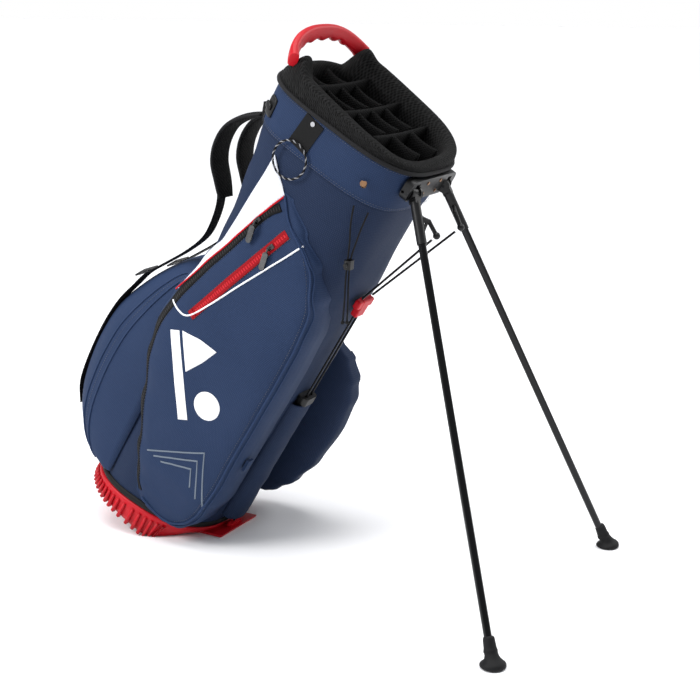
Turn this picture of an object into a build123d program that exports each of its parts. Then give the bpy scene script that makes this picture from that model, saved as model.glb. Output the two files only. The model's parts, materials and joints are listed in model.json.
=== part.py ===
from build123d import *
import math
import os

# Golf stand bag, standing on its two deployed legs. Millimetres.
# Every piece is first built in the bag's own upright frame: +Z along the bag from its base to
# its mouth, +X out of the side that carries the legs, Y across the bag. The whole bag is then
# leaned towards +X, so the front edge of its base and both feet stand on Z = 0.

# ---- driving dimensions ----
LEAN = 31.23  # lean of the bag's axis from the vertical, degrees
BASE_LIFT = 60.7  # height of the bag frame's origin above the ground
WALL_X, WALL_Y, WALL_CORNER = 138.0, 118.0, 58.0  # half sizes and corner radius of the bag's wall
WALL_THICK = 3.0  # fabric, foam and lining
COLLAR_Z, BAND_Z = 828.0, 755.0  # seams above and below the fabric collar band
RIM_Z, RIM_SLOPE = 866.0, -0.12  # the mouth's rim falls towards the leg side
COLLAR_X, COLLAR_Y, COLLAR_CORNER = 146.0, 121.5, 84.0
MOUTH_X, MOUTH_Y, MOUTH_CORNER = 124.0, 96.0, 60.0
GAP = 0.3  # clearance between neighbouring soft pieces

CUP_X, CUP_Y, CUP_CORNER = 142.0, 124.0, 62.0
CUP_BOTTOM, CUP_WALL = -42.0, 4.0
CUP_TOP, CUP_TOP_SLOPE = 8.0, 0.15  # the cup's top edge rises towards the legs
BAND_HEIGHT = 6.0
RIB_COUNT, RIB_SPREAD = 33, 112.0  # tread ribs, and the angle they reach each side of the back
PLATE_HALF, PLATE_THICK = 58.0, 4.5
PLATE_HINGE = Vector(55, 0, -33.5)
PLATE_TIP = 162.0
PLATE_SWING = 30.0  # degrees from deployed to stowed
BARREL_HALF, BARREL_RADIUS, HINGE_ROD = 44.0, 2.7, 1.5

PIVOT = Vector(152, 55.5, 800)  # hinge of the far leg; the near leg mirrors it across the bag
FOOT = Vector(706.7, 257.2, 357.5)  # centre of the far foot's sole
STOWED = Vector(0.055, 0.02, -1)  # direction of the stowed far leg
TUBE_RADIUS, TUBE_BORE = 6.35, 5.2
SLEEVE_RADIUS = 8.0
SLEEVE_START, SLEEVE_END, TUBE_START = 15.0, 84.0, 30.0
HEAD_RADIUS, HEAD_THICK = 8.5, 12.0
CHEEK_RADIUS, CHEEK_THICK, CHEEK_GAP = 11.0, 5.0, 0.3
KNOB = Vector(218, 45, 762)
KNOB_RADIUS = 6.0
PIN_RADIUS, RUNNING_FIT = 2.5, 0.05

ROD_RADIUS, ROD_X, ROD_Y = 2.0, 154.0, 8.0
CLIP_Z, CLIP_HALF = 556.0, 18.0
ROD_END_GAP = 6.5  # the rod ends stop short of the knobs: the linkage is opened there
PRESSED = 0.01  # clearance of a pressed or screwed joint

SWELL = 31.0  # how far the apparel pocket stands out of the bag's wall
POCKET_TOP, SWELL_TOP, SWELL_LOW = 690.0, 400.0, 120.0
RING_RADIUS, RING_WIRE = 31.0, 2.0
CORD_RADIUS = 1.4

lean = math.radians(LEAN)
BIG = 2400.0
parts = {}


# ---- helpers ----
def column(half_x, half_y, corner, low, high, centre=0.0):
    """An upright block with round corners."""
    return Pos(centre, 0, low) * extrude(RectangleRounded(2 * half_x, 2 * half_y, corner), high - low)


def half_space(point, normal):
    """Everything on the far side of a plane, along its normal."""
    return extrude(Plane(origin=point, z_dir=normal) * Rectangle(BIG, BIG), BIG)


def above(height, slope):
    return half_space((0, 0, height), (-slope, 0, 1))


def below(height, slope):
    return half_space((0, 0, height), (slope, 0, -1))


def ground(lift=0.0):
    """Everything lower than lift above the floor."""
    return below((lift - BASE_LIFT) / math.cos(lean), math.tan(lean))


def side_sheet(points, y_low, y_high):
    """A smooth closed outline in X and Z, as thick as the given stretch of Y."""
    outline = Spline(*[(x, 0, z) for x, z in points], periodic=True)
    return Pos(0, y_low, 0) * extrude(make_face(outline), y_high - y_low, dir=(0, 1, 0))


def rod(a, b, radius):
    a, b = Vector(*a), Vector(*b)
    return extrude(Plane(origin=a, z_dir=b - a) * Circle(radius), (b - a).length)


def disc(centre, axis, radius, low, high):
    """A round plate about an axis, between two distances along it."""
    return extrude(Plane(origin=centre + axis * low, z_dir=axis) * Circle(radius), high - low)


def group(shapes):
    return Compound(children=[solid for shape in shapes for solid in shape.solids()])


def mirrored(shape):
    return mirror(shape, about=Plane.XZ)


def strap_band(path, thick, y_low, y_high):
    """A strap of constant thickness along a smooth line in X and Z."""
    line = Spline(*[(x, 0, z) for x, z in path])
    section = Plane(origin=line @ 0, z_dir=line % 0, x_dir=(0, 1, 0)) * Rectangle(y_high - y_low, thick)
    return Pos(0, (y_low + y_high) / 2, 0) * sweep(section, path=line)


def cord_tube(points, name):
    """A cord's tube: straight runs joined by arcs as large as the runs allow."""
    points = [Vector(*point) for point in points]
    radii = []
    for before, corner, after in zip(points, points[1:], points[2:]):
        turn = math.radians((corner - before).get_angle(after - corner))
        shorter = min((corner - before).length, (after - corner).length)
        radii.append(0.45 * shorter / math.tan(turn / 2))
    path = FilletPolyline(*points, radius=radii)
    tube = sweep(Plane(origin=path @ 0, z_dir=path % 0) * Circle(CORD_RADIUS), path=path)
    fill = tube.volume / (path.length * math.pi * CORD_RADIUS**2)
    print(name, "radii", [round(r) for r in radii], "length", round(path.length, 1), "fill", round(fill, 3))
    return tube


# ---- bag wall, base cup and band ----
wall_fill = column(WALL_X, WALL_Y, WALL_CORNER, -30, COLLAR_Z - 4)
wall_grown = column(WALL_X + GAP, WALL_Y + GAP, WALL_CORNER + GAP, -60, COLLAR_Z + 40)
wall_room = column(WALL_X - WALL_THICK, WALL_Y - WALL_THICK, WALL_CORNER - WALL_THICK, -60, 900)
wall = (wall_fill - wall_room) & above(CUP_TOP + BAND_HEIGHT + GAP, CUP_TOP_SLOPE)
# Four panels meet at seams down the middle of the corners.
SEAM_X, SEAM_Y = WALL_X - WALL_CORNER, WALL_Y - WALL_CORNER


def wedge_of(side_x, side_y):
    """The corner quarter between a seam plane and the panel it bounds."""
    return half_space((side_x * SEAM_X, side_y * SEAM_Y, 0), (side_x, -side_y, 0))


front_room = wedge_of(1, 1) & wedge_of(1, -1)
back_room = wedge_of(-1, 1) & wedge_of(-1, -1)
sides = wall - front_room - back_room
parts["wall_front_panel"] = wall & front_room
parts["wall_back_panel"] = wall & back_room
parts["wall_near_panel"] = sides - half_space((0, 0, 0), (0, 1, 0))
parts["wall_far_panel"] = sides - half_space((0, 0, 0), (0, -1, 0))

cup_inner = column(CUP_X - CUP_WALL, CUP_Y - CUP_WALL, CUP_CORNER - CUP_WALL, CUP_BOTTOM + CUP_WALL, 100)
cup_inner -= ground(CUP_WALL + PLATE_THICK + 2)
plate_room = Pos(PLATE_HINGE.X + 96, 0, 0) * Box(200, 2 * BARREL_HALF + 2, 300)
plate_room += Pos(PLATE_HINGE.X + 106, 0, 0) * Box(200, 2 * PLATE_HALF + 2, 300)
plate_room = plate_room & ground(PLATE_THICK + 2.5)
hinge_ends = [Vector(PLATE_HINGE.X, side * (PLATE_HALF - 2), PLATE_HINGE.Z) for side in (-1, 1)]
cup = column(CUP_X, CUP_Y, CUP_CORNER, CUP_BOTTOM, 60) & below(CUP_TOP, CUP_TOP_SLOPE)
rim = RectangleRounded(2 * CUP_X, 2 * CUP_Y, CUP_CORNER).wire()
for i in range(RIB_COUNT):
    ray = Vector(-1, 0, 0).rotate(Axis.Z, RIB_SPREAD * (2 * i / (RIB_COUNT - 1) - 1))
    place = Edge.make_line((0, 0, 0), ray * (2 * CUP_X)).intersect(rim)[0]
    core_point = Vector(
        math.copysign(min(abs(place.X), CUP_X - CUP_CORNER), place.X),
        math.copysign(min(abs(place.Y), CUP_Y - CUP_CORNER), place.Y),
    )
    outward = Vector(place.X, place.Y) - core_point
    cup += Pos(place.X, place.Y, -22) * Rot(0, 0, math.degrees(math.atan2(outward.Y, outward.X))) * Box(8, 6, 36)
cup = cup & below(CUP_TOP, CUP_TOP_SLOPE)
parts["base_cup"] = cup - cup_inner - ground() - plate_room - rod(*hinge_ends, HINGE_ROD + PRESSED)
band = column(CUP_X - 1, CUP_Y - 1, CUP_CORNER - 1, -40, 80) - column(CUP_X - 7, CUP_Y - 7, CUP_CORNER - 7, -60, 90)
parts["base_band"] = band & above(CUP_TOP, CUP_TOP_SLOPE) & below(CUP_TOP + BAND_HEIGHT, CUP_TOP_SLOPE)
pad_room = column(CUP_X - 10, CUP_Y - 10, CUP_CORNER - 10, CUP_BOTTOM + CUP_WALL, -31)
parts["floor_pad"] = pad_room - ground(CUP_WALL + PLATE_THICK + 2.5)

# ---- ground plate: the lever under the front of the base that works the push rods ----
plate = Pos((PLATE_HINGE.X + PLATE_TIP) / 2 + 4, 0, 0) * Box(PLATE_TIP - PLATE_HINGE.X, 2 * PLATE_HALF, 400)
barrel_ends = [Vector(PLATE_HINGE.X, side * BARREL_HALF, PLATE_HINGE.Z) for side in (-1, 1)]
plate += Pos(PLATE_HINGE.X + 4, 0, 0) * Box(8, 2 * BARREL_HALF, 400)
plate = plate & ground(PLATE_THICK + 0.5)
plate -= ground(0.5)
plate -= Pos(PLATE_HINGE.X + 2, 0, 0) * Box(12, 4 * PLATE_HALF, 400) - Pos(PLATE_HINGE.X, 0, 0) * Box(60, 2 * BARREL_HALF, 500)
tip_z = (PLATE_THICK - BASE_LIFT) / math.cos(lean) + ROD_X * math.tan(lean)
plate += Pos(ROD_X, 0, tip_z + 3) * Box(9, 4 * ROD_Y, 12) - ground(1)
plate += rod(*barrel_ends, BARREL_RADIUS)
parts["ground_plate"] = plate - rod(*hinge_ends, HINGE_ROD + RUNNING_FIT)
parts["plate_hinge_rod"] = rod(*hinge_ends, HINGE_ROD)

# ---- padded mesh collar, its piping, liner and the fabric band under it ----
collar = column(COLLAR_X, COLLAR_Y, COLLAR_CORNER, COLLAR_Z + 5.2, COLLAR_Z + 22)
upper = RectangleRounded(2 * COLLAR_X, 2 * COLLAR_Y, COLLAR_CORNER)
collar += Pos(0, 0, COLLAR_Z + 22) * extrude(upper, 50, taper=14)
collar_fill = collar & below(RIM_Z, RIM_SLOPE)
mouth = column(MOUTH_X, MOUTH_Y, MOUTH_CORNER, 600, 1000)
HAND_ROOM = Pos(-140, 0, 900) * Box(76, 164, 100)  # the collar is lower under the handle
parts["top_collar"] = collar_fill - mouth - HAND_ROOM
piping = column(COLLAR_X + 2, COLLAR_Y + 2, COLLAR_CORNER + 2, COLLAR_Z, COLLAR_Z + 4.9)
parts["collar_piping"] = piping - mouth
liner = column(MOUTH_X + 4, MOUTH_Y + 4, MOUTH_CORNER + 4, 785, COLLAR_Z - GAP)
parts["mouth_liner"] = liner - mouth
BAND_OUT = 3.0
band_outer = column(WALL_X + BAND_OUT, WALL_Y + BAND_OUT, WALL_CORNER + BAND_OUT, BAND_Z, COLLAR_Z - GAP)
parts["collar_band"] = band_outer - wall_grown
band_grown = column(WALL_X + BAND_OUT + GAP, WALL_Y + BAND_OUT + GAP, WALL_CORNER + BAND_OUT + GAP, BAND_Z - 2, COLLAR_Z)

# ---- dividers: three cross ribs and the short ribs between them make fourteen ways ----
CROSS_X = (-70.0, -3.0, 62.0)
RIB_LOW, RIB_HIGH, RIB_THICK = 800.0, 852.0, 8.0
core = column(MOUTH_X - 1, MOUTH_Y - 1, MOUTH_CORNER - 1, 600, 1000)
middle = (RIB_LOW + RIB_HIGH) / 2
cross = [core & Pos(x, 0, middle) * Box(RIB_THICK, 300, RIB_HIGH - RIB_LOW) for x in CROSS_X]
parts["divider_cross_ribs"] = group(cross)
rows = (
    (-MOUTH_X, CROSS_X[0], (-32, 32)),
    (CROSS_X[0], CROSS_X[1], (-46, 0, 46)),
    (CROSS_X[1], CROSS_X[2], (-46, 0, 46)),
    (CROSS_X[2], MOUTH_X, (-32, 32)),
)
short_ribs = []
for low, high, places in rows:
    for y in places:
        rib = Box(high - low - RIB_THICK - 2 * GAP, RIB_THICK, RIB_HIGH - RIB_LOW - 6)
        short_ribs.append(core & Pos((low + high) / 2, y, middle - 3) * rib)
parts["divider_short_ribs"] = group(short_ribs)
PANEL_LOW, PANEL_HIGH, PANEL_THICK = 60.0, 784.0, 1.6
deep_core = column(WALL_X - 14, WALL_Y - 18, 50, PANEL_LOW, PANEL_HIGH)
parts["divider_panels"] = group([deep_core & Pos(x, 0, 430) * Box(PANEL_THICK, 300, 900) for x in CROSS_X])
STAY_X, STAY_Y, STAY_RADIUS = -100.0, 106.0, 3.0
parts["stay_rods"] = group([rod((STAY_X, y, -29), (STAY_X, y, 780), STAY_RADIUS) for y in (-STAY_Y, STAY_Y)])

# ---- lift handle over the back of the mouth, and the mesh arms that carry it ----
arch = Spline(
    (-115, -110, 878), (-129, -86, 891), (-141, -44, 903), (-141, 44, 903), (-129, 86, 891), (-115, 110, 878)
)
grip = sweep(Plane(origin=arch @ 0, z_dir=arch % 0, x_dir=(1, 0, 0)) * RectangleRounded(15, 26, 5), path=arch)
parts["top_collar"] -= grip
parts["lift_handle"] = grip
arm_face = make_face(Polyline((-132, 0, 860), (-128, 0, 871.5), (-110, 0, 882), (-70, 0, 872), (-60, 0, 860), close=True))
arm = Pos(0, -106, 0) * extrude(arm_face, 8, dir=(0, 1, 0)) - collar_fill
parts["handle_arms"] = group([arm - grip, mirrored(arm - grip)])

# ---- leg bracket on the front of the collar, and the two legs ----
BRACKET_Z = (786.0, 824.0)
along = (FOOT - PIVOT).normalized()
stowed = STOWED.normalized()
axis = along.cross(stowed).normalized()
FOLD = math.degrees(math.acos(along.dot(stowed)))  # degrees from deployed to stowed
leg_length = (FOOT - PIVOT).length

# Two cheeks hold the leg's head; the space its sleeve sweeps is left free.
inner = HEAD_THICK / 2 + CHEEK_GAP
plate_face = Plane(origin=(140, 0, sum(BRACKET_Z) / 2), x_dir=(0, 1, 0), z_dir=(1, 0, 0))
plate_block = extrude(plate_face * RectangleRounded(158, BRACKET_Z[1] - BRACKET_Z[0], 13), 14)
hub = disc(PIVOT, axis, CHEEK_RADIUS, -inner - CHEEK_THICK, inner + CHEEK_THICK)
web = Pos(PIVOT.X - 6, PIVOT.Y, PIVOT.Z + 7) * Box(16, 2 * (inner + CHEEK_THICK), 20)
sector = Plane(origin=PIVOT, x_dir=along, z_dir=axis)
SWEEP_REACH = 62.0
corners = [Vector(SWEEP_REACH, 0, 0).rotate(Axis.Z, angle) for angle in (-14, 15, 40, FOLD + 12)]
reach = KNOB - PIVOT
inward = (reach - along * reach.dot(along)).normalized()
elbow = PIVOT + along * 46 + inward * 22
ARM_RADIUS = 3.6


def turned(point, angle):
    """A point of the leg, swung by an angle about the leg's hinge."""
    offset = Vector(point) - PIVOT
    return PIVOT + offset.rotate(Axis((0, 0, 0), axis), angle)


arm_room = []
for step in range(15):
    at_root, at_elbow, at_knob = (turned(p, FOLD * step / 14) for p in (PIVOT + along * 30, elbow, KNOB))
    arm_room += [rod(at_root, at_elbow, ARM_RADIUS + 2), rod(at_elbow, at_knob, ARM_RADIUS + 2)]
    arm_room.append(Pos(*at_elbow) * Sphere(ARM_RADIUS + 2))
arm_room = group(arm_room)
sweep_face = make_face(Polyline((0, 0), *[(c.X, c.Y) for c in corners], close=True))
leg_room = extrude(sector * sweep_face, SLEEVE_RADIUS + 1.2, both=True)
leg_room -= disc(PIVOT, axis, CHEEK_RADIUS + 1, -40, 40)
leg_room += disc(PIVOT, axis, HEAD_RADIUS + 9, -inner, inner)
leg_room += disc(PIVOT, axis, PIN_RADIUS + PRESSED, -40, 40)
half = (plate_block & half_space((0, 0, 0), (0, 1, 0))) + hub + web
half = half - leg_room - band_grown - arm_room
bracket = half + mirrored(half)

# Head, sleeve and hook arm are one moulding; the tube is pressed into the sleeve.
head = disc(PIVOT, axis, HEAD_RADIUS, -HEAD_THICK / 2, HEAD_THICK / 2)
neck = Plane(origin=PIVOT, x_dir=axis, z_dir=along) * Rectangle(HEAD_THICK, 2 * HEAD_RADIUS - 2)
moulding = head + extrude(neck, SLEEVE_START + 3)
moulding += disc(PIVOT, along, SLEEVE_RADIUS, SLEEVE_START, SLEEVE_END)
moulding += rod(PIVOT + along * 38, elbow, ARM_RADIUS) + Pos(*elbow) * Sphere(ARM_RADIUS + 0.2)
moulding += rod(elbow, KNOB, ARM_RADIUS) + Pos(*KNOB) * Sphere(KNOB_RADIUS)
fin_plane = Plane(origin=PIVOT, x_dir=along, z_dir=along.cross(inward))
fin = make_face(Polyline((34, 5), (46, 22), (56, 14), (70, 5), close=True))
fin -= Pos(42, 11) * Circle(1.7) + Pos(50, 12) * Circle(1.9) + Pos(58, 10) * Circle(1.3)
moulding += extrude(fin_plane * fin, 1.7, both=True)
moulding -= disc(PIVOT, axis, PIN_RADIUS + RUNNING_FIT, -40, 40)
moulding -= disc(PIVOT, along, TUBE_RADIUS + PRESSED, TUBE_START, SLEEVE_END + 20)
shaft = disc(PIVOT, along, TUBE_RADIUS, TUBE_START, leg_length - 24)
shaft -= disc(PIVOT, along, TUBE_BORE, 0, leg_length)

# Rubber foot: a socket over the tube's end and a flared pad flat on the floor.
up = Vector(-math.sin(lean), 0, math.cos(lean))
rubber = disc(FOOT, along, 10.5, -46, -8)
rubber += disc(FOOT, up, 21, 0, 8) + extrude(Plane(origin=FOOT + up * 8, z_dir=up) * Circle(21), 15, taper=35)
rubber -= disc(PIVOT, along, TUBE_RADIUS + PRESSED, 0, leg_length - 24 + PRESSED)
pin = disc(PIVOT, axis, PIN_RADIUS, -inner - CHEEK_THICK, inner + CHEEK_THICK)
for node, piece in (("leg_pin", pin), ("leg_head", moulding), ("leg_tube", shaft), ("leg_foot", rubber)):
    parts[node + "_far"] = piece
    parts[node + "_near"] = mirrored(piece)
SCREWS = [(y, z) for y in (-22, 22) for z in (795, 815)]
parts["leg_bracket"] = bracket - group([Pos(152, y, z) * Rot(0, 90, 0) * Cylinder(3 + PRESSED, 8) for y, z in SCREWS])
parts["bracket_screws"] = group([Pos(151.7, y, z) * Rot(0, 90, 0) * Cylinder(3, 7) for y, z in SCREWS])

# ---- push rods: a lower pair held by a clip, and one upper rod to each leg's knob ----
rod_foot = tip_z + 14
rod_top = CLIP_Z + 12
parts["push_rods"] = group([rod((ROD_X, y, rod_foot), (ROD_X, y, rod_top), ROD_RADIUS) for y in (-ROD_Y, ROD_Y)])
clip = Pos(ROD_X, 0, CLIP_Z) * fillet(Box(13, 28, 2 * CLIP_HALF).edges(), 3)
clip += Pos(ROD_X, 0, CLIP_Z + CLIP_HALF - 9) * fillet(Box(12, 50, 16).edges(), 3)
for y in (-ROD_Y, ROD_Y):
    clip -= rod((ROD_X, y, CLIP_Z - 40), (ROD_X, y, rod_top), ROD_RADIUS + PRESSED)
parts["rod_clip"] = clip
ROD_ROOT = Vector(ROD_X + 1, 18, CLIP_Z + CLIP_HALF + 4)
rod_line = (KNOB - ROD_ROOT).normalized()
upper_rod = rod(ROD_ROOT, KNOB - rod_line * (KNOB_RADIUS + ROD_END_GAP), ROD_RADIUS)
parts["leg_rod_far"] = upper_rod
parts["leg_rod_near"] = mirrored(upper_rod)
GUIDE_Z = 345.0
guide_face = Plane(origin=(151, 0, GUIDE_Z - 8)) * RectangleRounded(24, 40, 9)
guide = extrude(guide_face, 16) - wall_grown
for y in (-ROD_Y, ROD_Y):
    guide -= Pos(ROD_X, y, GUIDE_Z) * Box(5.4, 5.4, 60)
parts["rod_guide"] = guide

# ---- soft pockets: simple closed solids round the wall ----
leg_lane = Pos(230, 0, 400) * Box(182, 176, 1200)
over_band = above(CUP_TOP + BAND_HEIGHT + 2 * GAP, CUP_TOP_SLOPE)
near_leaf = (
    (-14, 690), (30, 668), (88, 628), (128, 575), (148, 520), (152, 440), (152, 330),
    (150, 240), (148, 150), (136, 90), (112, 50), (60, 34), (10, 44),
    (-30, 110), (-66, 200), (-98, 300), (-106, 370), (-84, 480), (-54, 580),
)
swell_fill = column(152, WALL_Y + SWELL, 60, 0, 700)
slope_top = SWELL - 3
swell_fill -= half_space((0, -WALL_Y - SWELL, SWELL_TOP), (0, -(POCKET_TOP - SWELL_TOP), slope_top))
swell_fill -= half_space((0, -WALL_Y - SWELL, SWELL_LOW), (0, -SWELL_LOW, -14))
parts["apparel_pocket"] = (side_sheet(near_leaf, -180, -60) & swell_fill & over_band) - wall_grown - ground(3) - leg_lane
far_leaf = (
    (40, 52), (120, 76), (172, 124), (192, 190), (194, 250), (188, 310), (165, 365), (110, 410),
    (20, 425), (-60, 400), (-98, 320), (-94, 200), (-40, 90),
)
far_fill = column(194, WALL_Y + SWELL + 6, 62, 20, 460)
far_fill -= half_space((0, WALL_Y + SWELL + 6, 330), (0, 110, 26))
far_pocket = (side_sheet(far_leaf, 60, 200) & far_fill & over_band) - wall_grown
parts["side_pocket"] = far_pocket - ground(3) - leg_lane
ball_outline = (
    (-110, 452), (-150, 432), (-184, 388), (-222, 320), (-250, 240), (-256, 150),
    (-242, 56), (-208, 12), (-170, 8), (-110, 40), (-90, 240),
)
ball_fill = column(118, 112, 60, -30, 480, -140)
ball_pocket = side_sheet(ball_outline, -120, 120) & ball_fill
parts["ball_pocket"] = ball_pocket - wall_grown - Pos(-100, 0, 0) * Box(90, 300, 60)


# ---- zips on the apparel pocket: tape, slider and pull ----
def swell_y(z):
    """Y of the apparel pocket's side at a height on its sloping upper stretch."""
    return -(WALL_Y + SWELL) + slope_top * (z - SWELL_TOP) / (POCKET_TOP - SWELL_TOP)


down = (Vector(math.sin(lean) * 0.3, 0, -math.cos(lean)) + Vector(0, -0.1, 0)).normalized()
zips = {}
for name, start, end, tape, rest in (
    ("main", (-26, 640), (-80, 478), 12, 0.03),
    ("chest", (20, 622), (-46, 430), 15, 0.05),
):
    top, low = [Vector(x, swell_y(z) - 0.1, z) for x, z in (start, end)]
    run = (low - top).normalized()
    out = Vector(0, -(POCKET_TOP - SWELL_TOP), slope_top).normalized()
    face = Plane(origin=top, x_dir=run, z_dir=out)
    travel = (low - top).length
    parts["zip_tape_" + name] = face * Pos(travel / 2, 0, 0.6) * Box(travel + 8, tape, 1.2)
    at = travel * rest + 8
    slider = face * Pos(at, 0, 3.6) * fillet(Box(13, 8, 4).edges().filter_by(Axis.Z), 2)
    slider += face * Pos(at + 3, 0, 6.6) * Box(5, 2.4, 3)
    parts["zip_slider_" + name] = slider
    hang = face.from_local_coords(Vector(at + 3, 0, 9.2))
    tag = Plane(origin=hang, x_dir=down, z_dir=(0, -1, 0))
    pull = tag * Pos(22, 0, 0) * extrude(SlotOverall(32, 10), 3) + tag * Pos(4, 0, 1) * Box(9, 3, 2)
    parts["zip_pull_" + name] = pull
    zips[name] = {"run": run, "hang": hang, "travel": travel - at - 14}

# ---- towel tab, rivet and ring ----
skin_y = -(WALL_Y + BAND_OUT + GAP)
parts["towel_tab"] = Pos(-28, skin_y - 1.2, 796) * Rot(0, 8, 0) * Box(38, 2.4, 56)
parts["tab_rivet"] = Pos(-25, skin_y - 2.4 - 0.8, 817) * Rot(90, 0, 0) * Cylinder(4, 1.6)
ring_top = Vector(-32, skin_y - 2.4 - GAP - RING_WIRE, 776)
ring_plane = Plane(origin=ring_top - Vector(0, 0, RING_RADIUS), z_dir=(0, 1, 0))
parts["towel_ring"] = ring_plane * Torus(RING_RADIUS, RING_WIRE)

# ---- grommets, strap clips and the accessory loop ----
grommet = Pos(96, -116, 785) * Rot(55, 0, 0) * Cylinder(5.5, 14) - band_grown
parts["grommets"] = group([grommet, mirrored(grommet)])
side_clip = Pos(-116, -106, 788) * Rot(0, 0, 40) * Box(24, 20, 28) - band_grown
parts["strap_clips"] = group([side_clip, mirrored(side_clip)])
loop = Pos(146, -96, 222) * Box(20, 14, 24)
parts["accessory_loop"] = loop - wall_grown - swell_fill - leg_lane

# ---- double shoulder strap on the back ----
pad_path = ((-150, 744), (-184, 712), (-198, 672), (-190, 632), (-166, 600), (-146, 576))
web_path = ((-146, 566), (-142, 530), (-142, 495), (-160, 452), (-194, 396), (-234, 326), (-264, 240), (-266, 150), (-252, 62))
STRAPS = (("near", -64, -14), ("far", 14, 64))
for name, low, high in STRAPS:
    parts["strap_pad_" + name] = strap_band(pad_path, 11, low, high)
webs = [strap_band(web_path, 2.2, low, high) - ball_pocket for low, high in ((-60, -34), (34, 60))]
parts["strap_webbing"] = group([max(web.solids(), key=lambda s: s.volume) for web in webs])
anchors = [Pos(-146, y, 758) * Rot(0, -20, 0) * Box(8, 34, 24) - band_grown - wall_grown for y in (-39, 39)]
parts["strap_anchors"] = group([a - parts["strap_pad_near"] - parts["strap_pad_far"] for a in anchors])
for name, side in (("near", -1), ("far", 1)):
    face = Plane(origin=(-214, side * 47, 361), x_dir=(-40, 0, -70), z_dir=(-70, 0, 40))
    frame_shape = Box(26, 38, 3.4) - Pos(-6, 0, 0) * Box(4, 28, 9) - Pos(6, 0, 0) * Box(4, 28, 9)
    parts["strap_buckle_" + name] = face * Pos(0, 0, 4.2) * frame_shape

# ---- elastic draw cord of the rain hood's hem, with its spring lock and button ----
CORDS = {
    "draw_cord_front": (
        (121, -105.5, 748), (124, -107.5, 722), (129, -107.8, 694), (133.5, -106.8, 666),
        (150, -107, 632), (167, -106.2, 602), (183, -107.2, 573),
    ),
    "draw_cord_back": (
        (99, -118.5, 748), (107, -117, 721), (120, -112, 693), (131, -110.2, 665),
        (147, -111, 631), (163, -110.2, 601), (178, -111.4, 570),
    ),
}
for name, route in CORDS.items():
    parts[name] = cord_tube(route, name)
LOCK_AT, LOCK_RUN = Vector(137, -108.9, 657.5), Vector(16.5, 0, -34).normalized()
LOCK_TRAVEL, BUTTON_TRAVEL = 12.0, 2.5
lock_face = Plane(origin=LOCK_AT, x_dir=(0, 1, 0), z_dir=LOCK_RUN)
lock = lock_face * (fillet(Box(17, 12, 15).edges().filter_by(Axis.Z), 4) - Box(11.4, 8.4, 40))
button_room = lock_face * Pos(0, 0, 0) * Rot(0, 90, 0) * Cylinder(3.3, 40)
parts["cord_lock"] = lock - (button_room - half_space(LOCK_AT, (0, 1, 0)))
button = lock_face * Pos(-10.2, 0, 0) * Rot(0, 90, 0) * Cylinder(3.24, 6.2)
parts["cord_lock_button"] = button


# ---- stand the bag on the floor, centred on its own box, and write the pieces ----
def standing(shape):
    return Pos(0, 0, BASE_LIFT) * Rot(0, LEAN, 0) * shape


box = group([standing(shape) for shape in parts.values()]).bounding_box()
SHIFT = Vector(-(box.min.X + box.max.X) / 2, -(box.min.Y + box.max.Y) / 2, 0)
os.makedirs("parts", exist_ok=True)
for node, shape in parts.items():
    export_step(Pos(*SHIFT) * group([standing(shape)]), f"parts/{node}.step")
print("nodes", len(parts), "lowest", round(box.min.Z, 2), "size", box.size)
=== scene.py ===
import bpy
import bmesh
import json
import math
from mathutils import Matrix, Vector, noise


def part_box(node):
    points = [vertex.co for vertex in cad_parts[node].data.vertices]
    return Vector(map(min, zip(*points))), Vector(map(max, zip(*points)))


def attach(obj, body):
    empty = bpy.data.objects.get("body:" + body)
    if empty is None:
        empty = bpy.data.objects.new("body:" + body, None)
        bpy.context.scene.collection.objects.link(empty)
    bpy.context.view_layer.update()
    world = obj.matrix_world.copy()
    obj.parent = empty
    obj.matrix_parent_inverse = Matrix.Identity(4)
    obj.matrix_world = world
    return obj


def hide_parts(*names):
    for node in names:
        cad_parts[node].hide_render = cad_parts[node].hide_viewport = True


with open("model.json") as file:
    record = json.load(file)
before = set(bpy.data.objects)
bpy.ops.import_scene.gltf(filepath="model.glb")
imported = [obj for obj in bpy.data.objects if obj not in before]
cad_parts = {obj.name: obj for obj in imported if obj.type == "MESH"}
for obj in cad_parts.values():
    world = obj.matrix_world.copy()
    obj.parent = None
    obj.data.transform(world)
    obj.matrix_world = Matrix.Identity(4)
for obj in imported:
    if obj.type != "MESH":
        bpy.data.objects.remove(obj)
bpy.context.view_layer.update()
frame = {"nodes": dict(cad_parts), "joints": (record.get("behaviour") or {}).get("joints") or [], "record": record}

# ---- the bag's own frame, from the record's mouth mount ----
RIM = 0.866  # the mouth's height along the bag's axis
mouth = next(m for m in frame["record"]["mounts"] if m["name"] == "mouth")
AXIS_U = Vector(mouth["axis"]).normalized()
AXIS_V = Vector((AXIS_U.z, 0, -AXIS_U.x))
ORIGIN = Vector(mouth["pos_m"]) - AXIS_U * RIM
TO_ROW = Matrix.Translation(ORIGIN) @ Matrix((
    (AXIS_V.x, 0, AXIS_U.x, 0), (0, 1, 0, 0), (AXIS_V.z, 0, AXIS_U.z, 0), (0, 0, 0, 1)))


def row(v, w, u):
    """A point v towards the legs, w across and u along the bag, in the row frame."""
    return TO_ROW @ Vector((v, w, u))


# ---- camera: the photograph's viewing angle ----
EYE = Vector((1.498, -1.9373, 0.982))
AIM = Vector((0.1641, 0.4127, 0.2481))
LENS = 69.08
camera_data = bpy.data.cameras.new("camera")
camera_data.lens = LENS
camera_data.sensor_width = 36
camera = bpy.data.objects.new("camera", camera_data)
bpy.context.collection.objects.link(camera)
floor_shift = Vector((ORIGIN.x, ORIGIN.y, 0))
camera.location = EYE + floor_shift
camera.rotation_euler = (AIM - EYE).to_track_quat("-Z", "Y").to_euler()
bpy.context.scene.camera = camera


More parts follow.
